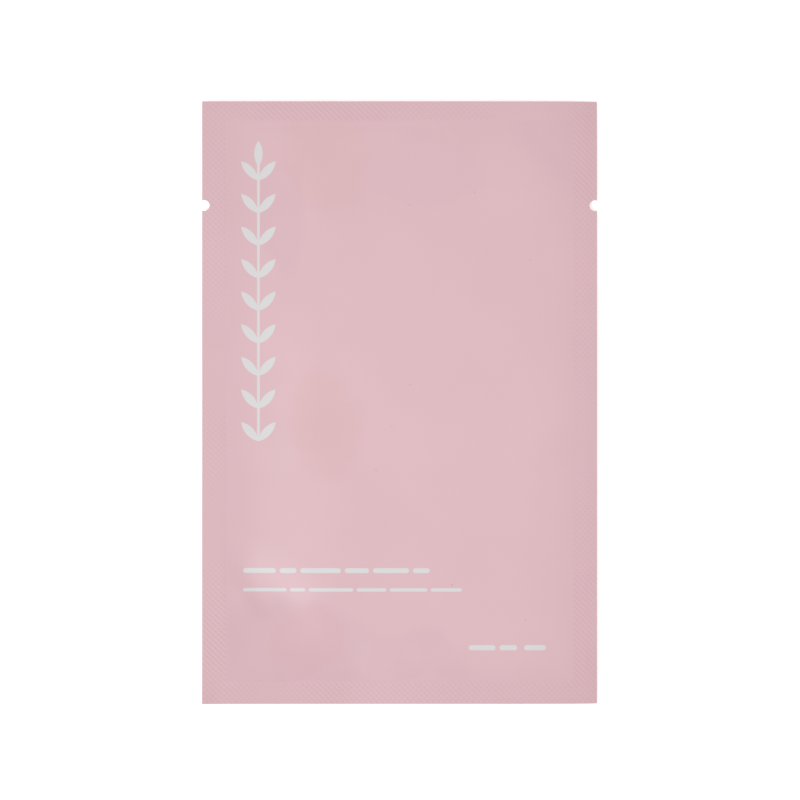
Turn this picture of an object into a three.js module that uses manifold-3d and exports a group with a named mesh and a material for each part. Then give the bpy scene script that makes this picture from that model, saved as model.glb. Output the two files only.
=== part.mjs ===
// A single wet wipe in its sachet, lying on its back on a table.
// Two printed films are welded together along all four edges round a folded, moistened wipe. The sealed
// pack is one closed body: flat seals, a front that climbs from them over slack, folded film on to the
// wipe, a back that the table presses flat, and a round tear notch through each side seal.
// Millimetres, +Z up, +Y towards the notched end. The origin is on the table, under the pack's middle.

import * as THREE from 'three';
import { mergeVertices } from 'three/addons/utils/BufferGeometryUtils.js';
import Module from 'manifold-3d';

// Film blank and its seals
const PACK_WIDTH = 80;
const PACK_LENGTH = 122;
const SEAL_THICKNESS = 0.2;
const SIDE_SEAL = 5;
const TOP_SEAL = 4;
const BOTTOM_SEAL = 4.8;

// Tear notches: round punch marks that run out through the side edges
const NOTCH_DIAMETER = 2.15;
const NOTCH_INSET = 0.45;
const NOTCH_FROM_TOP = 21.1;

// Heights over the table: the seals' middle at each corner, the film on top of the wipe, and the crown of
// that film. The wipe inside carries the seals.
const SEAL_HEIGHT = { upperLeft: 1.4, upperRight: 1.4, lowerLeft: 1.4, lowerRight: 1.35 };
const WIPE_TOP = 1.55;
const WIPE_CROWN = 0.15;

// Slack: how far the front film sags beside a seal, and the widths over which the front reaches that sag and
// the back meets the table
const FILM_SAG = 0.3;
const FRONT_SHOULDER = 9;
const BACK_SHOULDER = 14;

// The wipe's place in the pouch: on the right, at the top and at the bottom the film levels off on to the
// wipe straight from the seal. On the left it lies slack for a gap and then climbs the wipe's edge.
const RIGHT_CLIMB = 9;
const TOP_CLIMB = 7;
const BOTTOM_CLIMB = 9;
const LEFT_GAP = 4;
const LEFT_CLIMB_AT_TOP = 20;
const LEFT_CLIMB_AT_BOTTOM = 22;

// Puckers: ridges and hollows across each side where slack film gathers at the seal
const LEFT_PUCKER = 0.04;
const RIGHT_PUCKER = 0.01;
const TOP_PUCKER = 0.02;
const BOTTOM_PUCKER = 0.04;
const PUCKER_PITCH = 15;
const PUCKER_WANDER = 4;
const PUCKER_WANDER_PITCH = 47;

// Seals: the right one droops, the corners curl up or down, and the sides ripple along their length
const RIGHT_DROOP = 0.6;
const CORNER_CURL = { upperLeft: 0.1, upperRight: -0.5, lowerLeft: 0.5, lowerRight: -0.1 };
const CURL_POWER = 8;
const SEAL_RIPPLE = 0.05;
const SEAL_RIPPLE_PITCH = 52;

// Folds of slack film: valleys, and ridges where the depth is negative, each between two points measured
// from the pouch's lower left corner, where the seals meet
const FOLD_FADE = 5;
const FOLDS = [
  { name: 'valley at the lower left', from: [2.5, 23], to: [12.5, 15.4], width: 4, depth: 0.5 },
  { name: 'ridge above that valley', from: [12, 25], to: [20, 18], width: 3.5, depth: -0.08 },
  { name: 'hollow at the lower left', from: [8, 10], to: [14, 9], width: 6, depth: 0.25 },
  { name: 'hollow beside the left seal', from: [6, 44], to: [6, 34], width: 6, depth: 0.2 },
  { name: 'swell on the left edge', from: [22, 38], to: [21, 30], width: 6, depth: -0.2 },
  { name: 'ridge on the left edge', from: [14.5, 58], to: [16, 48], width: 3.5, depth: -0.14 },
  { name: 'hollow behind that ridge', from: [24, 56], to: [25, 46], width: 6, depth: 0.13 },
  { name: 'bump on the left edge', from: [16.5, 66], to: [17, 63], width: 4.5, depth: -0.3 },
  { name: 'ridge at the upper left', from: [16, 108], to: [16.5, 98], width: 4, depth: -0.1 },
  { name: 'hollow at the upper left', from: [25, 109], to: [26, 105], width: 8, depth: 0.35 },
  { name: 'swell at the upper right', from: [56, 103], to: [61, 96], width: 7, depth: -0.14 },
];

// Facets: rows across each seal, across the pouch's width and along its length, and round a notch
const SEAL_ROWS = 2;
const POUCH_COLUMNS = 32;
const POUCH_ROWS = 50;
const EDGE_CROWDING = 0.45;
const NOTCH_FACETS = 32;

// Finish: matt pink film
const FILM_COLOUR = '#ddbac0';
const FILM_ROUGHNESS = 0.45;

const HALF_WIDTH = PACK_WIDTH / 2;
const HALF_LENGTH = PACK_LENGTH / 2;
const TURN = 2 * Math.PI;

// Inner edges of the seals, where the pouch begins
const POUCH = {
  left: -HALF_WIDTH + SIDE_SEAL,
  right: HALF_WIDTH - SIDE_SEAL,
  bottom: -HALF_LENGTH + BOTTOM_SEAL,
  top: HALF_LENGTH - TOP_SEAL,
};

const { clamp, lerp } = THREE.MathUtils;

// The share of a width that lies between its start and a point, from 0 to 1.
function share(distance, width) {
  return clamp(distance / width, 0, 1);
}

// Tight film leaves a seal at an angle and levels off over that width.
function level(distance, width) {
  return 1 - (1 - share(distance, width)) ** 2;
}

// Slack film lies low for a gap and then climbs the wipe's edge in an S.
function climb(distance, gap, width) {
  return THREE.MathUtils.smoothstep(distance, gap, gap + width);
}

// How far film has left the seals round the pouch, from 0 on them to 1.
function tightness(x, y, shoulder) {
  const across = level(x - POUCH.left, shoulder) * level(POUCH.right - x, shoulder);
  const along = level(y - POUCH.bottom, shoulder) * level(POUCH.top - y, shoulder);
  return across * along;
}

// Width of the climb along the wipe's left edge.
function leftClimb(y) {
  const upwards = THREE.MathUtils.smoothstep(y, POUCH.bottom, POUCH.top);
  return lerp(LEFT_CLIMB_AT_BOTTOM, LEFT_CLIMB_AT_TOP, upwards);
}

// How far the film has climbed on to the wipe, from 0 beside it to 1 on its top.
function onWipe(x, y) {
  const left = climb(x - POUCH.left, LEFT_GAP, leftClimb(y));
  const right = level(POUCH.right - x, RIGHT_CLIMB);
  const bottom = level(y - POUCH.bottom, BOTTOM_CLIMB);
  const top = level(POUCH.top - y, TOP_CLIMB);
  return left * right * bottom * top;
}

// Puckers along one seal: waves that are highest halfway between the seal and the wipe's top.
function pucker(height, along, distance, reach) {
  const t = share(distance, reach);
  const wander = PUCKER_WANDER * Math.sin((TURN * along) / PUCKER_WANDER_PITCH);
  return height * Math.sin((TURN * (along + wander)) / PUCKER_PITCH) * 4 * t * (1 - t);
}

function puckers(x, y) {
  return (
    pucker(LEFT_PUCKER, y, x - POUCH.left, LEFT_GAP + leftClimb(y)) +
    pucker(RIGHT_PUCKER, y, POUCH.right - x, RIGHT_CLIMB) +
    pucker(BOTTOM_PUCKER, x, y - POUCH.bottom, BOTTOM_CLIMB) +
    pucker(TOP_PUCKER, x, POUCH.top - y, TOP_CLIMB)
  );
}

// Depth of the folds at a point: round-bottomed, fading out towards the seals.
function folds(x, y) {
  const corner = new THREE.Vector3(POUCH.left, POUCH.bottom, 0);
  const point = new THREE.Vector3(x, y, 0);
  const nearest = new THREE.Vector3();
  const inside = Math.min(x - POUCH.left, POUCH.right - x, y - POUCH.bottom, POUCH.top - y);
  let depth = 0;
  for (const fold of FOLDS) {
    const start = new THREE.Vector3(...fold.from, 0).add(corner);
    const end = new THREE.Vector3(...fold.to, 0).add(corner);
    new THREE.Line3(start, end).closestPointToPoint(point, true, nearest);
    depth += fold.depth * Math.exp(-((point.distanceTo(nearest) / fold.width) ** 2));
  }
  return depth * share(inside, FOLD_FADE);
}

// Height of the seals' middle plane: between its corners' heights, apart from droop, curl and ripple.
function sealHeight(x, y) {
  const across = x / PACK_WIDTH + 0.5;
  const lower = lerp(SEAL_HEIGHT.lowerLeft, SEAL_HEIGHT.lowerRight, across);
  const upper = lerp(SEAL_HEIGHT.upperLeft, SEAL_HEIGHT.upperRight, across);
  const side = Math.abs(x / HALF_WIDTH) ** CURL_POWER;
  const end = Math.abs(y / HALF_LENGTH) ** CURL_POWER;
  const corner = (y > 0 ? 'upper' : 'lower') + (x > 0 ? 'Right' : 'Left');
  const droop = x > 0 ? RIGHT_DROOP * side : 0;
  const ripple = SEAL_RIPPLE * side * Math.sin((TURN * y) / SEAL_RIPPLE_PITCH + Math.sign(x));
  return lerp(lower, upper, y / PACK_LENGTH + 0.5) - droop + CORNER_CURL[corner] * side * end + ripple;
}

// The front sags beside the seals, climbs on to the wipe, and never comes closer to the back than a seal's
// thickness.
function frontHeight(x, y) {
  const crown = WIPE_CROWN * (1 - (x / HALF_WIDTH) ** 2) * (1 - (y / HALF_LENGTH) ** 2);
  const sag = FILM_SAG * tightness(x, y, FRONT_SHOULDER);
  const slack = sealHeight(x, y) + SEAL_THICKNESS / 2 - sag;
  const film = lerp(slack, WIPE_TOP + crown, onWipe(x, y)) + puckers(x, y) - folds(x, y);
  return Math.max(film, backHeight(x, y) + SEAL_THICKNESS);
}

// The back sinks from the seals until the table stops it.
function backHeight(x, y) {
  const underside = sealHeight(x, y) - SEAL_THICKNESS / 2;
  return Math.max(lerp(underside, -underside, tightness(x, y, BACK_SHOULDER)), 0);
}

// Facet lines across the pack: even over both seals, and closer together at the pouch's two ends.
function facetLines(outerLow, innerLow, innerHigh, outerHigh, pouchRows) {
  const lines = [];
  for (let i = 0; i < SEAL_ROWS; i++) lines.push(lerp(outerLow, innerLow, i / SEAL_ROWS));
  for (let i = 0; i <= pouchRows; i++) {
    const even = i / pouchRows;
    const crowded = even - (EDGE_CROWDING * Math.sin(TURN * even)) / TURN;
    lines.push(lerp(innerLow, innerHigh, crowded));
  }
  for (let i = 1; i <= SEAL_ROWS; i++) lines.push(lerp(innerHigh, outerHigh, i / SEAL_ROWS));
  return lines;
}

const wasm = await Module();
wasm.setup();

function toSolid(geometry) {
  const bare = geometry.clone().deleteAttribute('normal').deleteAttribute('uv');
  const merged = mergeVertices(bare);
  return new wasm.Manifold(
    new wasm.Mesh({
      numProp: 3,
      vertProperties: merged.attributes.position.array,
      triVerts: new Uint32Array(merged.index.array),
    }),
  );
}

function toGeometry(solid) {
  const { vertProperties, triVerts } = solid.getMesh();
  const geometry = new THREE.BufferGeometry();
  geometry.setAttribute('position', new THREE.BufferAttribute(vertProperties, 3));
  geometry.setIndex(new THREE.BufferAttribute(triVerts, 1));
  geometry.computeVertexNormals();
  return geometry;
}

// The filled pouch with its seals: a thin slab of film, drawn up in front and down behind.
function filledPouch() {
  const columns = facetLines(-HALF_WIDTH, POUCH.left, POUCH.right, HALF_WIDTH, POUCH_COLUMNS);
  const rows = facetLines(-HALF_LENGTH, POUCH.bottom, POUCH.top, HALF_LENGTH, POUCH_ROWS);
  const columnCount = columns.length - 1;
  const rowCount = rows.length - 1;
  const slab = new THREE.BoxGeometry(PACK_WIDTH, PACK_LENGTH, SEAL_THICKNESS, columnCount, rowCount, 1);
  const position = slab.attributes.position;
  for (let i = 0; i < position.count; i++) {
    const x = columns[Math.round((position.getX(i) / PACK_WIDTH + 0.5) * columnCount)];
    const y = rows[Math.round((position.getY(i) / PACK_LENGTH + 0.5) * rowCount)];
    const height = position.getZ(i) > 0 ? frontHeight(x, y) : backHeight(x, y);
    position.setXYZ(i, x, y, height);
  }
  return slab;
}

// A punch for one tear notch, on the left side (-1) or the right (+1).
function notchPunch(side) {
  const radius = NOTCH_DIAMETER / 2;
  const punch = new THREE.CylinderGeometry(radius, radius, 4 * WIPE_TOP, NOTCH_FACETS);
  punch.rotateX(Math.PI / 2);
  punch.translate(side * (HALF_WIDTH - NOTCH_INSET), HALF_LENGTH - NOTCH_FROM_TOP, WIPE_TOP);
  return punch;
}

function sachet() {
  let solid = toSolid(filledPouch());
  for (const side of [-1, 1]) solid = solid.subtract(toSolid(notchPunch(side)));
  const film = new THREE.MeshStandardMaterial({
    color: FILM_COLOUR,
    roughness: FILM_ROUGHNESS,
    metalness: 0,
  });
  const mesh = new THREE.Mesh(toGeometry(solid), film);
  mesh.name = 'sachet';
  return mesh;
}

const wipePack = new THREE.Group();
wipePack.name = 'wet_wipe_sachet';
wipePack.add(sachet());

export default wipePack;
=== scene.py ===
import math

import bpy
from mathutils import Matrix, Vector


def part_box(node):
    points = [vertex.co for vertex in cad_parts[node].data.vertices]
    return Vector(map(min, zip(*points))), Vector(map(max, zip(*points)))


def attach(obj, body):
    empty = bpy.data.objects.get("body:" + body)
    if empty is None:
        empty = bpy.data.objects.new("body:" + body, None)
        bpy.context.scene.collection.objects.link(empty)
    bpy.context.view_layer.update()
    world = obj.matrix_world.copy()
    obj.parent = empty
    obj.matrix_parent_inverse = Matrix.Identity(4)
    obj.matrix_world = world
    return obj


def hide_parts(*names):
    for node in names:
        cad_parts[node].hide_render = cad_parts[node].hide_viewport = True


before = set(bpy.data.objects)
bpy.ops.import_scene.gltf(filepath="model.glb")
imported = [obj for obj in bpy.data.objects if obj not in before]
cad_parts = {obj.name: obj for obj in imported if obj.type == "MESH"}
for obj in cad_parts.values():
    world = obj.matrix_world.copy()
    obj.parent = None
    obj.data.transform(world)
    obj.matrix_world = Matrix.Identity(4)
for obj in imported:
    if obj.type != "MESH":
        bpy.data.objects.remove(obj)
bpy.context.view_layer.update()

bl_info = {
    "name": "Wet wipe sachet",
    "version": (1, 0, 0),
    "blender": (4, 5, 0),
    "location": "View3D > Sidebar > Sachet",
    "description": "A wet wipe in a welded film sachet, lying on its back",
    "category": "Object",
}

MM = 0.001
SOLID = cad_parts["sachet"]
LOW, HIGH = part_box("sachet")


def linear(hex_colour):
    """An sRGB hex colour as linear red, green, blue and full alpha."""
    levels = [int(hex_colour[i:i + 2], 16) / 255 for i in (1, 3, 5)]
    return [v / 12.92 if v <= 0.04045 else ((v + 0.055) / 1.055) ** 2.4 for v in levels] + [1.0]


def length(name, description, default_mm):
    """A length setting whose default is written in millimetres."""
    return bpy.props.FloatProperty(
        name=name, description=description, default=default_mm * MM, min=0, precision=6,
        subtype="DISTANCE", unit="LENGTH")


def colour(name, description, default_hex):
    """A colour setting whose default is an sRGB hex value."""
    return bpy.props.FloatVectorProperty(
        name=name, description=description, default=linear(default_hex), size=4, min=0, max=1,
        subtype="COLOR")


class SachetFilm(bpy.types.PropertyGroup):
    """Sizes and colours of the film pack."""

    side_seal: length("Side seal", "Width of the knurled weld at the left and right", 5.0)
    top_seal: length("Top seal", "Width of the knurled weld at the notched end", 4.0)
    bottom_seal: length("Bottom seal", "Width of the knurled weld at the other end", 4.8)
    dimple_depth: length("Dimple depth", "Depth of the dimples pressed into the weld", 0.05)
    ridge_height: length("Ridge height", "Height of the crossings between the dimples", 0.015)
    stripe_height: length("Stripe height", "Height of the ridges where they run as stripes", 0.028)
    notch_diameter: length("Notch diameter", "Diameter of the punch for the tear notches", 2.15)
    notch_inset: length("Notch inset", "Distance of a notch's centre from the side edge", 0.45)
    notch_from_top: length("Notch from top", "Distance of the notches from the top edge", 21.1)
    film_colour: colour("Film", "Printed ground of the front and back film", "#dab6bc")
    ink_colour: colour("Ink", "Pale ink of the marks on the front", "#d7d5d6")
    edge_colour: colour("Cut edge", "Cut edge of the laminate", "#d8ccce")


class SachetStage(bpy.types.PropertyGroup):
    """The table, the light and the camera."""

    floor_colour: colour("Floor", "Colour of the table", "#f4f4f4")
    view_width: length("View width", "Width of table that the camera sees", 162.0)
    camera_height: length("Camera height", "Height of the camera over the table", 600.0)
    fill_colour: colour("Fill", "Colour of the light from all round", "#fff6f3")
    fill_strength: bpy.props.FloatProperty(
        name="Fill strength", description="Strength of the light from all round", default=0.727, min=0)
    spot_colour: colour("Spot", "Colour of the soft spot", "#e6f9ff")
    spot_power: bpy.props.FloatProperty(
        name="Spot power", description="Power of the soft spot", default=58.9, min=0, unit="POWER")


# The grid of the film: two cells to a knurl period, and four in the seals
CELL_COLUMNS = 140
CELL_ROWS = 216
CELLS_PER_PERIOD = 2
PERIOD_STEPS = 4
# The sheets' edges stay this far inside the solid's, so that each vertex finds it
EDGE_MARGIN = 0.01 * MM
SHEET_WIDTH = HIGH[0] - LOW[0] - 2 * EDGE_MARGIN
SHEET_LENGTH = HIGH[1] - LOW[1] - 2 * EDGE_MARGIN
# The sheets are drawn this far from the solid and then lowered or raised on to it
CLEAR_OF_SOLID = 10 * MM
# Rounds of smoothing over the notches, over the wipe and where the front leaves the left seal softly, which
# is between two places in x
SMOOTHING = 0.5
NOTCH_ROUNDS = 200
POUCH_ROUNDS = 24
BEND_ROUNDS = 60
LEFT_BEND = (-37.0 * MM, -31.5 * MM)
# Soft swells of the film over the wipe: width and height in millimetres
SWELL_SIZE = 9.0
SWELL_HEIGHT = 0.06
# Sides of the punch for the notches, and the distance below which vertices that it leaves are one
PUNCH_SIDES = 64
SLIVER = 0.01 * MM
# A face whose normal is less upright than this belongs to the cut edge, and edges sharper than this angle
# stay crisp
UPRIGHT = 0.5
SMOOTH_ANGLE = math.radians(40)

# Where the jaws closed lightly: x, y and reach in millimetres from the middle of the pack, with the share of
# the knurl's depth that is left there and the number of steps in which it is pressed
FAINT_PATCHES = ((-37.5, 8, 26), (-37.5, -24, 28), (27, 60, 13), (37.5, -8, 18), (-26, -60, 10))
FAINTEST = 0.35
PRESS_LEVELS = 3
# Where the jaws met askew and left stripes: x, y, x, y in millimetres, and how far the stripes take over
STRIPED = {
    "top left": (-29, 56, -2, 61, 1.0),
    "upper right": (34, 41, 40, 59, 0.85),
    "lower right": (34, -58, 40, -34, 0.7),
    "lower left": (-40, -54, -34, -37, 0.4),
}

# Creases and swells in the front, as strokes from one point to another: x, y, x, y, reach and height in
# millimetres, measured from the middle of the pack. The vertices this near to its line move the full height.
STROKE_WIDTH = 0.45 * MM
STROKES = {
    "line under the top seal": (-27, 55.9, 24, 55.9, 1.6, -0.03),
    "first pucker under the top seal": (-19.4, 54.6, -19, 55.2, 2.2, -0.04),
    "second pucker under the top seal": (-11.2, 54.8, -10.8, 55.4, 2.2, -0.04),
    "third pucker under the top seal": (4.9, 54.6, 5.3, 55.2, 2.2, -0.04),
    "fourth pucker under the top seal": (12.6, 54.8, 13, 55.4, 2.2, -0.03),
    "top left swell": (-20, 42, -19, 36, 8, 0.05),
    "lower left corner swell": (-31, -42, -28, -47, 4, 0.06),
    "crease by the left seal": (-32.5, -33.2, -27.5, -41.5, 2.4, -0.08),
    "rise in the lower left valley": (-27.5, -34, -20.5, -40, 4.5, 0.04),
    "pit by the bottom seal": (-23, -54.6, -22.4, -54.2, 3, -0.06),
    "bottom seal ridge": (-5, -50, -2, -53, 4, 0.06),
    "bottom middle pit": (1, -51.5, 1.5, -51, 3, -0.05),
}


def deselect_all():
    """Deselect every object, the solid among them."""
    bpy.ops.object.select_all(action="DESELECT")


def edit_with(piece, kind, chosen):
    """Go into edit mode with the vertices or faces selected for which chosen is true."""
    deselect_all()
    piece.select_set(True)
    bpy.context.view_layer.objects.active = piece
    bpy.context.tool_settings.mesh_select_mode = (kind == "VERT", False, kind == "FACE")
    bpy.ops.object.mode_set(mode="EDIT")
    bpy.ops.mesh.select_all(action="DESELECT")
    bpy.ops.object.mode_set(mode="OBJECT")
    items = piece.data.vertices if kind == "VERT" else piece.data.polygons
    items.foreach_set("select", [bool(chosen(item)) for item in items])
    bpy.ops.object.mode_set(mode="EDIT")


def leave_edit():
    """Go back to object mode."""
    bpy.ops.object.mode_set(mode="OBJECT")


def apply_modifier(piece, kind, **settings):
    """Add a modifier with its settings and apply it."""
    deselect_all()
    piece.select_set(True)
    bpy.context.view_layer.objects.active = piece
    modifier = piece.modifiers.new(kind.lower(), kind)
    for option, value in settings.items():
        setattr(modifier, option, value)
    bpy.ops.object.modifier_apply(modifier=modifier.name)


def smooth_heights(sheet, name, chosen, rounds):
    """Smooth the heights of the vertices for which chosen is true, and keep them as a vertex group."""
    indices = [vertex.index for vertex in sheet.data.vertices if chosen(vertex)]
    sheet.vertex_groups.new(name=name).add(indices, 1.0, "REPLACE")
    apply_modifier(
        sheet, "SMOOTH", factor=SMOOTHING, iterations=rounds, use_x=False, use_y=False, vertex_group=name)


def in_seal(film, x, y, spare=0.0):
    """True on the welded seals, widened by spare."""
    return (x < LOW[0] + film.side_seal + spare or x > HIGH[0] - film.side_seal - spare
            or y < LOW[1] + film.bottom_seal + spare or y > HIGH[1] - film.top_seal - spare)


def seal_level(sheet):
    """Height of the sheet in the middle of its left edge."""
    return min(sheet.data.vertices, key=lambda v: (round(v.co.x, 5), abs(v.co.y))).co.z


def film_sheet(film, name, above):
    """One film: a grid, finer in the seals, laid on the top or the underside of the solid."""
    start = HIGH[2] + CLEAR_OF_SOLID if above else LOW[2] - CLEAR_OF_SOLID
    deselect_all()
    bpy.ops.mesh.primitive_grid_add(
        x_subdivisions=CELL_COLUMNS, y_subdivisions=CELL_ROWS, size=1, location=(0, 0, start))
    sheet = bpy.context.active_object
    sheet.name = name
    sheet.data.name = name
    sheet.scale = (SHEET_WIDTH, SHEET_LENGTH, 1)
    bpy.ops.object.transform_apply(location=True, rotation=True, scale=True)
    cell = SHEET_WIDTH / CELL_COLUMNS
    edit_with(sheet, "FACE", lambda face: in_seal(film, face.center.x, face.center.y, cell / 4))
    bpy.ops.mesh.subdivide(number_cuts=1)
    leave_edit()
    apply_modifier(
        sheet, "SHRINKWRAP", target=SOLID, wrap_method="PROJECT", use_project_z=True,
        use_negative_direction=above, use_positive_direction=not above)
    # over the notches there is no solid to meet, so the vertices there are drawn level with those round them
    missed = {v.index for v in sheet.data.vertices if abs(v.co.z - start) < CLEAR_OF_SOLID / 2}
    edit_with(sheet, "VERT", lambda vertex: vertex.index in missed)
    bpy.ops.transform.translate(value=(0, 0, seal_level(sheet) - start))
    leave_edit()
    smooth_heights(sheet, "notches", lambda vertex: vertex.index in missed, NOTCH_ROUNDS)
    smooth_heights(
        sheet, "pouch", lambda vertex: not in_seal(film, vertex.co.x, vertex.co.y), POUCH_ROUNDS)
    smooth_heights(
        sheet, "left bend", lambda vertex: LEFT_BEND[0] < vertex.co.x < LEFT_BEND[1], BEND_ROUNDS)
    return sheet


def stroke(sheet, x0, y0, x1, y1, reach, height):
    """Push a line of vertices up or down, with a soft falloff round it."""
    start, end = Vector((x0 * MM, y0 * MM)), Vector((x1 * MM, y1 * MM))
    along = end - start

    def on_line(vertex):
        point = Vector(vertex.co.xy)
        t = min(max((point - start).dot(along) / along.length_squared, 0), 1)
        return (point - start - along * t).length < STROKE_WIDTH

    edit_with(sheet, "VERT", on_line)
    bpy.ops.transform.translate(
        value=(0, 0, height * MM), use_proportional_edit=True, proportional_edit_falloff="SMOOTH",
        proportional_size=reach * MM)
    leave_edit()


def pressure(x, y):
    """Share of the knurl's full depth at a point: less where the jaws closed lightly."""
    share = 1.0
    for patch_x, patch_y, reach in FAINT_PATCHES:
        t = min(math.dist((x / MM, y / MM), (patch_x, patch_y)) / reach, 1.0)
        share = min(share, t * t * (3 - 2 * t))
    return FAINTEST + (1 - FAINTEST) * share


def knurl(film, sheet):
    """Raise the crossings of the weld's ridges, press in the dimples between them, and join the ridges to
    stripes where the jaws met askew."""
    steps_per_cell = PERIOD_STEPS // CELLS_PER_PERIOD
    step_x = SHEET_WIDTH / (CELL_COLUMNS * steps_per_cell)
    step_y = SHEET_LENGTH / (CELL_ROWS * steps_per_cell)

    def place(vertex):
        """Steps of a vertex along its knurl period, across and along the pack, or none outside the seals."""
        if not in_seal(film, vertex.co.x, vertex.co.y, -step_x):
            return None
        column = round((vertex.co.x - LOW[0] - EDGE_MARGIN) / step_x) % PERIOD_STEPS
        row = round((vertex.co.y - LOW[1] - EDGE_MARGIN) / step_y) % PERIOD_STEPS
        return column, row

    crossings, dimples = ((0, 0), (2, 2)), ((0, 2), (2, 0))
    for steps, move in ((crossings, film.ridge_height), (dimples, -film.dimple_depth)):
        for level in range(PRESS_LEVELS):
            least = (level + 0.5) / PRESS_LEVELS
            edit_with(
                sheet, "VERT",
                lambda vertex: place(vertex) in steps and pressure(vertex.co.x, vertex.co.y) > least)
            bpy.ops.transform.translate(value=(0, 0, move / PRESS_LEVELS))
            leave_edit()
    between, beside = ((1, 3), (3, 1)), ((1, 1), (3, 3))
    for x0, y0, x1, y1, share in STRIPED.values():
        for steps, move in ((between, film.stripe_height), (beside, -film.stripe_height)):
            edit_with(
                sheet, "VERT",
                lambda vertex: place(vertex) in steps and x0 < vertex.co.x / MM < x1
                and y0 < vertex.co.y / MM < y1)
            bpy.ops.transform.translate(value=(0, 0, move * share))
            leave_edit()


def crinkle(sheet, name, size_mm, height_mm):
    """Uneven film over the wipe: soft cloud-shaped swells."""
    clouds = bpy.data.textures.new(name, "CLOUDS")
    clouds.noise_scale = size_mm * MM
    clouds.noise_depth = 1
    apply_modifier(
        sheet, "DISPLACE", texture=clouds, texture_coords="LOCAL", direction="Z",
        strength=height_mm * MM, mid_level=0.5, vertex_group="pouch")


def close_pack(front, back):
    """Join both films along their cut edge."""
    deselect_all()
    front.select_set(True)
    back.select_set(True)
    bpy.context.view_layer.objects.active = front
    bpy.ops.object.join()
    bpy.context.tool_settings.mesh_select_mode = (False, True, False)
    bpy.ops.object.mode_set(mode="EDIT")
    bpy.ops.mesh.select_all(action="DESELECT")
    bpy.ops.mesh.select_non_manifold(
        extend=False, use_wire=False, use_boundary=True, use_multi_face=False,
        use_non_contiguous=False, use_verts=False)
    bpy.ops.mesh.bridge_edge_loops()
    bpy.ops.mesh.select_all(action="SELECT")
    bpy.ops.mesh.normals_make_consistent(inside=False)
    leave_edit()
    return front


def punch_notches(film, pack):
    """Cut the round tear notches through the side seals."""
    along = HIGH[1] - film.notch_from_top
    for side in (-1, 1):
        centre = (side * (HIGH[0] - film.notch_inset), along, HIGH[2] / 2)
        deselect_all()
        bpy.ops.mesh.primitive_cylinder_add(
            vertices=PUNCH_SIDES, radius=film.notch_diameter / 2, depth=4 * HIGH[2], location=centre)
        punch = bpy.context.active_object
        apply_modifier(pack, "BOOLEAN", object=punch, operation="DIFFERENCE", solver="EXACT")
        deselect_all()
        punch.select_set(True)
        bpy.ops.object.delete()
    # the cut leaves slivers far thinner than the film, and faces with many corners
    edit_with(pack, "VERT", lambda vertex: True)
    bpy.ops.mesh.remove_doubles(threshold=SLIVER)
    leave_edit()
    edit_with(
        pack, "FACE",
        lambda face: len(face.vertices) > 4 or abs(face.center.y - along) < film.notch_diameter)
    bpy.ops.mesh.quads_convert_to_tris(quad_method="BEAUTY", ngon_method="BEAUTY")
    leave_edit()


def assign(piece, materials):
    """Give each face a material: (material, test of a face), the last test that holds counts."""
    piece.data.materials.clear()
    for material, _ in materials:
        piece.data.materials.append(material)
    for index, (_, test) in enumerate(materials):
        edit_with(piece, "FACE", test)
        piece.active_material_index = index
        bpy.ops.object.material_slot_assign()
        leave_edit()


def add_node(tree, kind, sockets=None, **settings):
    """Add a node, set its options, and set or link its input sockets."""
    made = tree.nodes.new(kind)
    for option, value in settings.items():
        setattr(made, option, value)
    for socket, value in (sockets or {}).items():
        if isinstance(value, bpy.types.NodeSocket):
            tree.links.new(value, made.inputs[socket])
        else:
            made.inputs[socket].default_value = value
    return made


def new_material(name):
    """A material with an empty node tree."""
    material = bpy.data.materials.new(name)
    material.use_nodes = True
    material.node_tree.nodes.clear()
    return material, material.node_tree


# Marks printed on the front in pale ink: rounded bars as x, y of the left end, length and thickness in
# millimetres from the middle of the pack
BARS = (
    (-31.7, -34.0, 6.6, 1.0), (-24.3, -34.0, 3.4, 1.0), (-20.1, -34.0, 8.2, 1.0), (-11.1, -34.0, 4.9, 1.0),
    (-5.4, -34.0, 7.3, 1.0), (2.7, -34.0, 3.4, 1.0),
    (-31.7, -37.9, 8.8, 0.7), (-22.2, -37.9, 3.1, 0.7), (-18.4, -37.9, 9.0, 0.7), (-8.7, -37.9, 6.0, 0.7),
    (-2.0, -37.9, 7.6, 0.7), (6.3, -37.9, 6.3, 0.7),
    (14.0, -49.6, 5.4, 1.05), (20.2, -49.6, 3.6, 1.05), (25.2, -49.6, 4.4, 1.05),
)
# The sprig above the bars, in millimetres and degrees: its stem and tip, and its pairs of leaves
SPRIG_X = -28.6
SPRIG_LOW = -7.8
SPRIG_HIGH = 51.2
SPRIG_TIP = 53.0
SPRIG_STEM = 0.55
LEAF_PITCH = 6.6
LEAF_LENGTH = 5.2
LEAF_WIDTH = 1.7
LEAF_ANGLE = 42
# Half the width of the ink's soft edge, in millimetres
INK_SOFTNESS = 0.08
# Half the length over which the weld's stripes turn into dimples, in millimetres
STRIPE_SOFTNESS = 2.0
# The knurl, in periods from the nearest ridge: where a ridge starts and is full, and the same for a dimple
RIDGE_SPAN = (0.2, 0.0)
DIMPLE_SPAN = (0.18, 0.42)
# The weld and the darker band along it, in millimetres past the weld's inner edge: where each starts
# and is full
WELD_SPAN = (-0.1, 0.3)
WELD_BAND_SPAN = (-5.0, 1.0)
# What is left of the film's red, green and blue in the darker band along the weld, and in its dimples as
# painted shade
WELD_BAND_TINT = linear("#fdfcfd")
DIMPLE_SHADE_TINT = linear("#fbf6f9")
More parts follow.
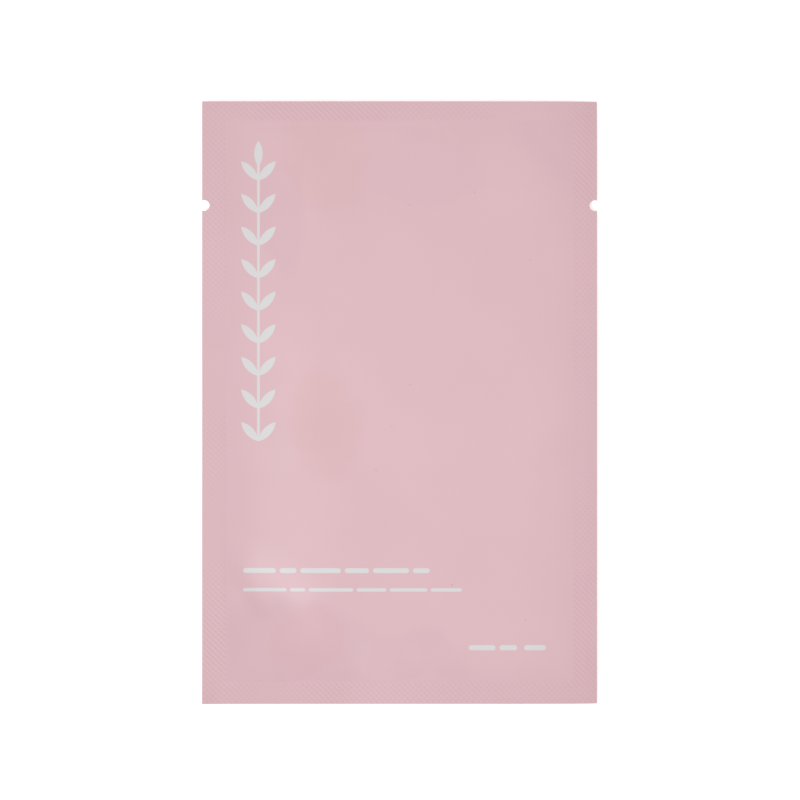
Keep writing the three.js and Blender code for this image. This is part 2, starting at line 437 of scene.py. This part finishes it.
# Painted shade on the front: the middle of each patch as x and y, its half width and half height in
# millimetres and its strength, with what is left of the film's red, green and blue at full strength. The
# film is painted darker and pinker where its slopes and creases turn from the light, darker and warmer in the
# valleys over the left of the wipe, and a little darker as painted shade on the left and bottom seals.
PAINTED_SHADE = {
    "upper right corner": (37, 59, 14, 15, 0.85),
    "lower left corner": (-24, -50, 18, 11, 1.0),
    "top middle": (4, 47, 13, 7, 0.35),
    "bottom middle": (3, -52, 10, 5, 0.5),
    "beside the upper left seal": (-24, 38, 5, 11, 0.65),
}
PAINTED_SHADE_TINT = linear("#fbf9fc")
WARM_PAINTED_SHADE = {
    "upper left": (-15, 50, 9, 11, 0.6),
    "left edge": (-15, -5, 7, 12, 0.75),
    "lower left": (-18, -48, 8, 7, 0.9),
}
WARM_PAINTED_SHADE_TINT = linear("#fefbf8")
SEAL_PAINTED_SHADE = {
    "left seal": (-39, -30, 6, 46, 0.8),
    "bottom seal": (-22, -60, 13, 6, 0.9),
}
SEAL_PAINTED_SHADE_TINT = linear("#fbfbfa")
# The patches' edges wander up to this far to each side, mostly less than half of it, over this length, and
# fade between two shares of a patch's size
WANDER = 4.0
WANDER_LENGTH = 9.0
PATCH_EDGE = (1.2, 0.75)
# Dark dust on the film: its colour, its strength, half the width of its soft edge and its specks, each as x,
# y and radius in millimetres
DUST_COLOUR = linear("#8f7078")
DUST_STRENGTH = 0.22
DUST_SOFTNESS = 0.1
SPECKS = (
    (2.1, 40.0, 0.16), (15.2, 42.6, 0.2), (26.4, 28.9, 0.16), (2.1, 3.6, 0.2),
    (-1.6, -4.9, 0.16), (-4.8, -13.6, 0.18), (10.6, -36.9, 0.22), (25.4, -44.0, 0.16),
)
# Noise lies mostly between these values
NOISE_SPAN = (0.3, 0.7)
# The ink film's strength drifts by this share over this many millimetres
DRIFT = 0.015
DRIFT_LENGTH = 18.0
# The lacquer's tooth in millimetres, drawn coarser than the real 0.05 mm so that it shows, the roughness
# that it gives, and the heights of the tooth and of the weld's ridges in the bump
TOOTH_SIZE = 0.4
LACQUER_ROUGHNESS = (0.36, 0.46)
TOOTH_HEIGHT = 0.006 * MM
RIDGE_HEIGHT = 0.012 * MM
# The laminate's refraction, and the grain, shades and roughness of its cut edge
LAMINATE_IOR = 1.5
EDGE_GRAIN = 0.3 * MM
EDGE_SHADES = (0.9, 1.05)
EDGE_ROUGHNESS = 0.4


def bar_distance(tree, point, x, y, bar_length, thickness):
    """Distance to a rounded bar, below 0 inside it."""
    half = (bar_length - thickness) / 2
    middle = (x + bar_length / 2, y, 0)
    away = add_node(tree, "ShaderNodeVectorMath", {0: point, 1: middle}, operation="SUBTRACT")
    away = add_node(tree, "ShaderNodeVectorMath", {0: away.outputs[0]}, operation="ABSOLUTE")
    away = add_node(
        tree, "ShaderNodeVectorMath", {0: away.outputs[0], 1: (half, 0, 0)}, operation="SUBTRACT")
    away = add_node(
        tree, "ShaderNodeVectorMath", {0: away.outputs[0], 1: (0, 0, 0)}, operation="MAXIMUM")
    away = add_node(tree, "ShaderNodeVectorMath", {0: away.outputs[0]}, operation="LENGTH")
    return add_node(
        tree, "ShaderNodeMath", {0: away.outputs["Value"], 1: thickness / 2},
        operation="SUBTRACT").outputs[0]


def almond_distance(tree, u, v):
    """Distance to an almond leaf round the middle of u, along it, and v, across it: two circles meet."""
    radius = ((LEAF_LENGTH / 2) ** 2 + (LEAF_WIDTH / 2) ** 2) / LEAF_WIDTH
    across = add_node(tree, "ShaderNodeMath", {0: v}, operation="ABSOLUTE").outputs[0]
    across = add_node(
        tree, "ShaderNodeMath", {0: across, 1: radius - LEAF_WIDTH / 2}, operation="ADD").outputs[0]
    reach = add_node(tree, "ShaderNodeCombineXYZ", {0: u, 1: across}).outputs[0]
    reach = add_node(tree, "ShaderNodeVectorMath", {0: reach}, operation="LENGTH").outputs["Value"]
    return add_node(tree, "ShaderNodeMath", {0: reach, 1: radius}, operation="SUBTRACT").outputs[0]


def sprig_distance(tree, x, y):
    """Distance to a stem with pairs of leaves and a leaf at its tip, below 0 inside it."""
    aside = add_node(tree, "ShaderNodeMath", {0: x, 1: SPRIG_X}, operation="SUBTRACT").outputs[0]
    aside = add_node(tree, "ShaderNodeMath", {0: aside}, operation="ABSOLUTE").outputs[0]
    stem = add_node(
        tree, "ShaderNodeMath", {0: aside, 1: SPRIG_STEM / 2}, operation="SUBTRACT").outputs[0]
    up = add_node(tree, "ShaderNodeMath", {0: y, 1: SPRIG_LOW}, operation="SUBTRACT").outputs[0]
    up = add_node(tree, "ShaderNodeMath", {0: up, 1: LEAF_PITCH, 2: 0.0}, operation="WRAP").outputs[0]
    turn = math.radians(LEAF_ANGLE)
    along, across = (math.sin(turn), math.cos(turn), 0), (math.cos(turn), -math.sin(turn), 0)
    middle = [LEAF_LENGTH / 2 * part for part in along]
    local = add_node(tree, "ShaderNodeCombineXYZ", {0: aside, 1: up}).outputs[0]
    local = add_node(
        tree, "ShaderNodeVectorMath", {0: local, 1: middle}, operation="SUBTRACT").outputs[0]
    u, v = [
        add_node(
            tree, "ShaderNodeVectorMath", {0: local, 1: direction}, operation="DOT_PRODUCT").outputs["Value"]
        for direction in (along, across)]
    drawn = add_node(
        tree, "ShaderNodeMath", {0: stem, 1: almond_distance(tree, u, v)}, operation="MINIMUM").outputs[0]
    centre, extent = (SPRIG_HIGH + SPRIG_LOW) / 2, (SPRIG_HIGH - SPRIG_LOW) / 2
    ends = add_node(tree, "ShaderNodeMath", {0: y, 1: centre}, operation="SUBTRACT").outputs[0]
    ends = add_node(tree, "ShaderNodeMath", {0: ends}, operation="ABSOLUTE").outputs[0]
    ends = add_node(tree, "ShaderNodeMath", {0: ends, 1: extent}, operation="SUBTRACT").outputs[0]
    drawn = add_node(tree, "ShaderNodeMath", {0: drawn, 1: ends}, operation="MAXIMUM").outputs[0]
    tip = add_node(
        tree, "ShaderNodeMath", {0: y, 1: SPRIG_TIP - LEAF_LENGTH / 2}, operation="SUBTRACT").outputs[0]
    return add_node(
        tree, "ShaderNodeMath", {0: drawn, 1: almond_distance(tree, tip, aside)},
        operation="MINIMUM").outputs[0]


def knurl_masks(tree, film, x, y):
    """The darker band along the weld, the weld, and its ridges and dimples, each 1 at its middle."""
    period_x = (HIGH[0] - LOW[0]) / MM * CELLS_PER_PERIOD / CELL_COLUMNS
    period_y = (HIGH[1] - LOW[1]) / MM * CELLS_PER_PERIOD / CELL_ROWS
    column = add_node(
        tree, "ShaderNodeMath", {0: x, 1: 1 / period_x, 2: -LOW[0] / MM / period_x},
        operation="MULTIPLY_ADD").outputs[0]
    row = add_node(
        tree, "ShaderNodeMath", {0: y, 1: 1 / period_y, 2: -LOW[1] / MM / period_y},
        operation="MULTIPLY_ADD").outputs[0]
    lines = []
    for operation in ("ADD", "SUBTRACT"):
        line = add_node(tree, "ShaderNodeMath", {0: column, 1: row}, operation=operation).outputs[0]
        lines.append(add_node(tree, "ShaderNodeMath", {0: line, 1: 0.5}, operation="PINGPONG").outputs[0])
    nearest = add_node(
        tree, "ShaderNodeMath", {0: lines[0], 1: lines[1]}, operation="MINIMUM").outputs[0]
    # where the jaws met askew, only the ridges that run one way are left
    flat = add_node(tree, "ShaderNodeCombineXYZ", {0: x, 1: y}).outputs[0]
    for x0, y0, x1, y1, share in STRIPED.values():
        away = add_node(
            tree, "ShaderNodeVectorMath", {0: flat, 1: ((x0 + x1) / 2, (y0 + y1) / 2, 0)},
            operation="SUBTRACT").outputs[0]
        away = add_node(tree, "ShaderNodeVectorMath", {0: away}, operation="ABSOLUTE").outputs[0]
        away = add_node(
            tree, "ShaderNodeVectorMath", {0: away, 1: ((x1 - x0) / 2, (y1 - y0) / 2, 0)},
            operation="SUBTRACT").outputs[0]
        sides = add_node(tree, "ShaderNodeSeparateXYZ", {0: away})
        away = add_node(
            tree, "ShaderNodeMath", {0: sides.outputs[0], 1: sides.outputs[1]},
            operation="MAXIMUM").outputs[0]
        striped = add_node(
            tree, "ShaderNodeMapRange",
            {0: away, 1: STRIPE_SOFTNESS, 2: -STRIPE_SOFTNESS, 3: 0.0, 4: share},
            interpolation_type="SMOOTHSTEP").outputs[0]
        nearest = add_node(
            tree, "ShaderNodeMix", {0: striped, 2: nearest, 3: lines[0]}, data_type="FLOAT").outputs[0]
    side = add_node(tree, "ShaderNodeMath", {0: x}, operation="ABSOLUTE").outputs[0]
    side = add_node(
        tree, "ShaderNodeMath", {0: side, 1: (HIGH[0] - film.side_seal) / MM},
        operation="SUBTRACT").outputs[0]
    low, high = (LOW[1] + film.bottom_seal) / MM, (HIGH[1] - film.top_seal) / MM
    end = add_node(
        tree, "ShaderNodeMath", {0: y, 1: (low + high) / 2}, operation="SUBTRACT").outputs[0]
    end = add_node(tree, "ShaderNodeMath", {0: end}, operation="ABSOLUTE").outputs[0]
    end = add_node(
        tree, "ShaderNodeMath", {0: end, 1: (high - low) / 2}, operation="SUBTRACT").outputs[0]
    depth = add_node(tree, "ShaderNodeMath", {0: side, 1: end}, operation="MAXIMUM").outputs[0]
    weld_band_mask, inside = [
        add_node(
            tree, "ShaderNodeMapRange", {0: depth, 1: start, 2: full, 3: 0.0, 4: 1.0},
            interpolation_type="SMOOTHSTEP").outputs[0]
        for start, full in (WELD_BAND_SPAN, WELD_SPAN)]
    pressed = inside
    for patch_x, patch_y, reach in FAINT_PATCHES:
        away = add_node(
            tree, "ShaderNodeVectorMath", {0: flat, 1: (patch_x, patch_y, 0)},
            operation="DISTANCE").outputs["Value"]
        share = add_node(
            tree, "ShaderNodeMapRange", {0: away, 1: 0.0, 2: reach, 3: FAINTEST, 4: 1.0},
            interpolation_type="SMOOTHSTEP").outputs[0]
        pressed = add_node(
            tree, "ShaderNodeMath", {0: pressed, 1: share}, operation="MINIMUM").outputs[0]
    masks = [weld_band_mask, inside]
    for start, full in (RIDGE_SPAN, DIMPLE_SPAN):
        mask = add_node(
            tree, "ShaderNodeMapRange", {0: nearest, 1: start, 2: full, 3: 0.0, 4: 1.0},
            interpolation_type="SMOOTHSTEP").outputs[0]
        masks.append(add_node(
            tree, "ShaderNodeMath", {0: mask, 1: pressed}, operation="MULTIPLY").outputs[0])
    return masks


def patch_mask(tree, flat, patches):
    """Patches of painted shade: soft ovals with wandering edges."""
    wander = add_node(
        tree, "ShaderNodeTexNoise", {"Vector": flat, "Scale": 1 / WANDER_LENGTH, "Detail": 1.0})
    wander = add_node(
        tree, "ShaderNodeVectorMath",
        {0: wander.outputs["Color"], 1: (2 * WANDER, 2 * WANDER, 0), 2: (-WANDER, -WANDER, 0)},
        operation="MULTIPLY_ADD").outputs[0]
    place = add_node(tree, "ShaderNodeVectorMath", {0: flat, 1: wander}, operation="ADD").outputs[0]
    strongest = None
    for x, y, half_width, half_height, strength in patches.values():
        away = add_node(
            tree, "ShaderNodeVectorMath", {0: place, 1: (x, y, 0)}, operation="SUBTRACT").outputs[0]
        away = add_node(
            tree, "ShaderNodeVectorMath", {0: away, 1: (half_width, half_height, 1)},
            operation="DIVIDE").outputs[0]
        away = add_node(tree, "ShaderNodeVectorMath", {0: away}, operation="LENGTH").outputs["Value"]
        patch = add_node(
            tree, "ShaderNodeMapRange",
            {0: away, 1: PATCH_EDGE[0], 2: PATCH_EDGE[1], 3: 0.0, 4: strength},
            interpolation_type="SMOOTHSTEP").outputs[0]
        strongest = patch if strongest is None else add_node(
            tree, "ShaderNodeMath", {0: strongest, 1: patch}, operation="MAXIMUM").outputs[0]
    return strongest


def laminate(film, name, printed):
    """Matt laminate film, gravure printed under a matt lacquer: pale pink that drifts a little in tone, with
    a soft wide highlight, a fine tooth that breaks it up, crisp knurl lines in the weld with painted shade in
    its dimples, a darker band along the weld and, on the front, patches of painted shade, flat marks in pale
    ink and a little dust."""
    material, tree = new_material(name)
    place = add_node(tree, "ShaderNodeTexCoord").outputs["Object"]
    point = add_node(
        tree, "ShaderNodeVectorMath", {0: place, "Scale": 1 / MM}, operation="SCALE").outputs[0]
    apart = add_node(tree, "ShaderNodeSeparateXYZ", {0: point})
    x, y = apart.outputs[0], apart.outputs[1]
    flat = add_node(tree, "ShaderNodeCombineXYZ", {0: x, 1: y}).outputs[0]
    drift = add_node(
        tree, "ShaderNodeTexNoise",
        {"Vector": flat, "Scale": 1 / DRIFT_LENGTH, "Detail": 2.0, "Roughness": 0.5})
    ground = add_node(
        tree, "ShaderNodeMapRange",
        {0: drift.outputs[0], 1: NOISE_SPAN[0], 2: NOISE_SPAN[1], 3: 1 - DRIFT, 4: 1 + DRIFT})
    base = add_node(
        tree, "ShaderNodeVectorMath", {0: film.film_colour[:3], "Scale": ground.outputs[0]},
        operation="SCALE").outputs[0]
    weld_band, welded, ridges, dimples = knurl_masks(tree, film, x, y)
    # the film along the weld is a little darker and pinker, and the dimples get painted shade, darkest of all
    for mask, tint in ((weld_band, WELD_BAND_TINT), (dimples, DIMPLE_SHADE_TINT)):
        base = add_node(
            tree, "ShaderNodeMix", {0: mask, 6: base, 7: tint}, data_type="RGBA",
            blend_type="MULTIPLY").outputs[2]
    if printed:
        loose = add_node(tree, "ShaderNodeMath", {0: 1.0, 1: welded}, operation="SUBTRACT").outputs[0]
        # painted shade: pinker and warmer patches on the loose film, and darker patches on the welds
        for patches, part, tint in (
                (PAINTED_SHADE, loose, PAINTED_SHADE_TINT), (WARM_PAINTED_SHADE, loose, WARM_PAINTED_SHADE_TINT),
                (SEAL_PAINTED_SHADE, welded, SEAL_PAINTED_SHADE_TINT)):
            mask = add_node(
                tree, "ShaderNodeMath", {0: patch_mask(tree, flat, patches), 1: part},
                operation="MULTIPLY").outputs[0]
            base = add_node(
                tree, "ShaderNodeMix", {0: mask, 6: base, 7: tint}, data_type="RGBA",
                blend_type="MULTIPLY").outputs[2]
        distance = sprig_distance(tree, x, y)
        for bar in BARS:
            distance = add_node(
                tree, "ShaderNodeMath", {0: distance, 1: bar_distance(tree, flat, *bar)},
                operation="MINIMUM").outputs[0]
        ink = add_node(
            tree, "ShaderNodeMapRange",
            {0: distance, 1: INK_SOFTNESS, 2: -INK_SOFTNESS, 3: 0.0, 4: 1.0},
            interpolation_type="SMOOTHSTEP").outputs[0]
        base = add_node(
            tree, "ShaderNodeMix", {0: ink, 6: base, 7: film.ink_colour[:]}, data_type="RGBA").outputs[2]
        dust = None
        for speck_x, speck_y, radius in SPECKS:
            away = add_node(
                tree, "ShaderNodeVectorMath", {0: flat, 1: (speck_x, speck_y, 0)},
                operation="DISTANCE").outputs["Value"]
            away = add_node(
                tree, "ShaderNodeMath", {0: away, 1: radius}, operation="SUBTRACT").outputs[0]
            dust = away if dust is None else add_node(
                tree, "ShaderNodeMath", {0: dust, 1: away}, operation="MINIMUM").outputs[0]
        dust = add_node(
            tree, "ShaderNodeMapRange",
            {0: dust, 1: DUST_SOFTNESS, 2: -DUST_SOFTNESS, 3: 0.0, 4: DUST_STRENGTH},
            interpolation_type="SMOOTHSTEP").outputs[0]
        base = add_node(
            tree, "ShaderNodeMix", {0: dust, 6: base, 7: DUST_COLOUR}, data_type="RGBA").outputs[2]
    tooth = add_node(
        tree, "ShaderNodeTexNoise",
        {"Vector": flat, "Scale": 1 / TOOTH_SIZE, "Detail": 3.0, "Roughness": 0.6})
    rough = add_node(
        tree, "ShaderNodeMapRange",
        {0: tooth.outputs[0], 1: NOISE_SPAN[0], 2: NOISE_SPAN[1],
         3: LACQUER_ROUGHNESS[0], 4: LACQUER_ROUGHNESS[1]})
    bump = add_node(
        tree, "ShaderNodeBump", {"Strength": 1.0, "Distance": RIDGE_HEIGHT, "Height": ridges})
    bump = add_node(
        tree, "ShaderNodeBump",
        {"Strength": 1.0, "Distance": TOOTH_HEIGHT, "Height": tooth.outputs[0], "Normal": bump.outputs[0]})
    shader = add_node(
        tree, "ShaderNodeBsdfPrincipled",
        {"Base Color": base, "Roughness": rough.outputs[0], "IOR": LAMINATE_IOR, "Metallic": 0.0,
         "Normal": bump.outputs[0]})
    add_node(tree, "ShaderNodeOutputMaterial", {0: shader.outputs[0]})
    return material


def cut_edge(film):
    """Cut edge of the laminate, slit by a blade: pale polymer layers with a thin metallised one between,
    so a slightly greyer and glossier line than the printed face."""
    material, tree = new_material("laminate cut edge, slit")
    place = add_node(tree, "ShaderNodeTexCoord").outputs["Object"]
    layers = add_node(
        tree, "ShaderNodeTexNoise", {"Vector": place, "Scale": 1 / EDGE_GRAIN, "Detail": 2.0})
    shade = add_node(
        tree, "ShaderNodeMapRange",
        {0: layers.outputs[0], 1: NOISE_SPAN[0], 2: NOISE_SPAN[1], 3: EDGE_SHADES[0], 4: EDGE_SHADES[1]})
    base = add_node(
        tree, "ShaderNodeVectorMath", {0: film.edge_colour[:3], "Scale": shade.outputs[0]},
        operation="SCALE").outputs[0]
    shader = add_node(
        tree, "ShaderNodeBsdfPrincipled",
        {"Base Color": base, "Roughness": EDGE_ROUGHNESS, "IOR": LAMINATE_IOR, "Metallic": 0.0})
    add_node(tree, "ShaderNodeOutputMaterial", {0: shader.outputs[0]})
    return material


class SACHET_OT_film_pack(bpy.types.Operator):
    """Model the two films, welded round the wipe, with their knurled seals and tear notches"""

    bl_idname = "sachet.film_pack"
    bl_label = "Film pack"

    def execute(self, context):
        film = context.scene.sachet_film
        front = film_sheet(film, "sachet_film", above=True)
        for points in STROKES.values():
            stroke(front, *points)
        crinkle(front, "film swells", SWELL_SIZE, SWELL_HEIGHT)
        back = film_sheet(film, "sachet_back", above=False)
        for sheet in (front, back):
            knurl(film, sheet)
        pack = close_pack(front, back)
        punch_notches(film, pack)
        assign(pack, (
            (laminate(film, "matt laminate film, gravure printed", True), lambda face: True),
            (laminate(film, "matt laminate film, plain", False), lambda face: face.normal.z < -UPRIGHT),
            (cut_edge(film), lambda face: abs(face.normal.z) < UPRIGHT),
        ))
        deselect_all()
        pack.select_set(True)
        context.view_layer.objects.active = pack
        bpy.ops.object.shade_smooth_by_angle(angle=SMOOTH_ANGLE)
        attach(pack, "root")
        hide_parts("sachet")
        return {"FINISHED"}


# The table's size in metres, and how far it lies under the pack, so that their faces don't coincide
TABLE_SIZE = 6.0
TABLE_GAP = 0.01 * MM
# The table's roughness, and the light that it gives to the eye alone, so that it shows white
TABLE_ROUGHNESS = 0.9
TABLE_LIFT = 0.5
# The soft spot: its place over the lower left and its radius in metres, the angle of its pool of light and
# where it points
SPOT_PLACE = (-0.8, -0.58, 1.44)
SPOT_RADIUS = 0.06
SPOT_ANGLE = math.radians(11.2)
SPOT_AIM = Vector((0, 2 * MM, 0))
# The camera's place over the pack, the height at which the width of its view is measured, the nearest thing
# that it sees, and its sensor in millimetres
CAMERA_X = 0.07 * MM
CAMERA_Y = 0.53 * MM
VIEW_LEVEL = 1.2 * MM
NEAREST = 10 * MM
SENSOR = 36.0


def white_table(stage):
    """Plain matt table, painted white: shown white to the eye apart from the shadow it catches."""
    material, tree = new_material("white table, painted")
    path = add_node(tree, "ShaderNodeLightPath")
    shader = add_node(
        tree, "ShaderNodeBsdfPrincipled",
        {"Base Color": stage.floor_colour[:], "Roughness": TABLE_ROUGHNESS, "Specular IOR Level": 0.0})
    lift = add_node(tree, "ShaderNodeEmission", {"Color": (1, 1, 1, 1), "Strength": TABLE_LIFT})
    seen = add_node(
        tree, "ShaderNodeMath",
        {0: path.outputs["Is Camera Ray"], 1: path.outputs["Is Glossy Ray"]}, operation="MAXIMUM")
    seen = add_node(
        tree, "ShaderNodeMath", {0: seen.outputs[0], 1: path.outputs["Is Transmission Ray"]},
        operation="MAXIMUM")
    lit = add_node(tree, "ShaderNodeAddShader", {0: shader.outputs[0], 1: lift.outputs[0]})
    mixed = add_node(
        tree, "ShaderNodeMixShader", {0: seen.outputs[0], 1: shader.outputs[0], 2: lit.outputs[0]})
    add_node(tree, "ShaderNodeOutputMaterial", {0: mixed.outputs[0]})
    return material


class SACHET_OT_stage(bpy.types.Operator):
    """Lay the table and set the light and the camera"""

    bl_idname = "sachet.stage"
    bl_label = "Table, light and camera"

    def execute(self, context):
        stage = context.scene.sachet_stage
        deselect_all()
        bpy.ops.mesh.primitive_plane_add(size=TABLE_SIZE, location=(0, 0, LOW[2] - TABLE_GAP))
        table = context.active_object
        table.name = "table"
        table.data.materials.append(white_table(stage))

        world = bpy.data.worlds.new("studio")
        context.scene.world = world
        world.use_nodes = True
        tree = world.node_tree
        tree.nodes.clear()
        path = add_node(tree, "ShaderNodeLightPath")
        fill = add_node(
            tree, "ShaderNodeBackground",
            {"Color": stage.fill_colour[:], "Strength": stage.fill_strength})
        white = add_node(tree, "ShaderNodeBackground", {"Color": (1, 1, 1, 1), "Strength": 1.0})
        mixed = add_node(
            tree, "ShaderNodeMixShader",
            {0: path.outputs["Is Camera Ray"], 1: fill.outputs[0], 2: white.outputs[0]})
        add_node(tree, "ShaderNodeOutputWorld", {0: mixed.outputs[0]})

        # a wide soft spot from the lower left, whose pool of light fades a little towards the pack's ends
        deselect_all()
        bpy.ops.object.light_add(type="SPOT", location=SPOT_PLACE)
        spot = context.active_object
        spot.name = "soft spot"
        spot.data.energy = stage.spot_power
        spot.data.color = stage.spot_colour[:3]
        spot.data.shadow_soft_size = SPOT_RADIUS
        spot.data.spot_size = SPOT_ANGLE
        spot.data.spot_blend = 1.0
        spot.rotation_euler = (SPOT_AIM - spot.location).to_track_quat("-Z", "Y").to_euler()

        deselect_all()
        bpy.ops.object.camera_add(
            location=(CAMERA_X, CAMERA_Y, stage.camera_height), rotation=(0, 0, 0))
        camera = context.active_object
        camera.name = "camera"
        camera.data.sensor_width = SENSOR
        camera.data.lens = SENSOR * (stage.camera_height - VIEW_LEVEL) / stage.view_width
        camera.data.clip_start = NEAREST
        camera.data.dof.use_dof = False
        context.scene.camera = camera
        context.scene.view_settings.view_transform = "Standard"
        return {"FINISHED"}


class SACHET_PT_panel(bpy.types.Panel):
    """Lists the pieces of the sachet and their settings."""

    bl_label = "Wet wipe sachet"
    bl_space_type = "VIEW_3D"
    bl_region_type = "UI"
    bl_category = "Sachet"

    def draw(self, context):
        for group in (context.scene.sachet_film, context.scene.sachet_stage):
            for name in group.bl_rna.properties.keys():
                if name not in ("name", "rna_type"):
                    self.layout.prop(group, name)
        for operator in (SACHET_OT_film_pack, SACHET_OT_stage):
            self.layout.operator(operator.bl_idname)


CLASSES = (SachetFilm, SachetStage, SACHET_OT_film_pack, SACHET_OT_stage, SACHET_PT_panel)


def register():
    """Add the classes and the settings to Blender."""
    for cls in CLASSES:
        bpy.utils.register_class(cls)
    bpy.types.Scene.sachet_film = bpy.props.PointerProperty(type=SachetFilm)
    bpy.types.Scene.sachet_stage = bpy.props.PointerProperty(type=SachetStage)


def unregister():
    """Take the settings and the classes out again."""
    del bpy.types.Scene.sachet_stage
    del bpy.types.Scene.sachet_film
    for cls in reversed(CLASSES):
        bpy.utils.unregister_class(cls)


def main():
    """Build the stage and the pack."""
    register()
    bpy.ops.sachet.stage()
    bpy.ops.sachet.film_pack()


if __name__ == "__main__":
    main()
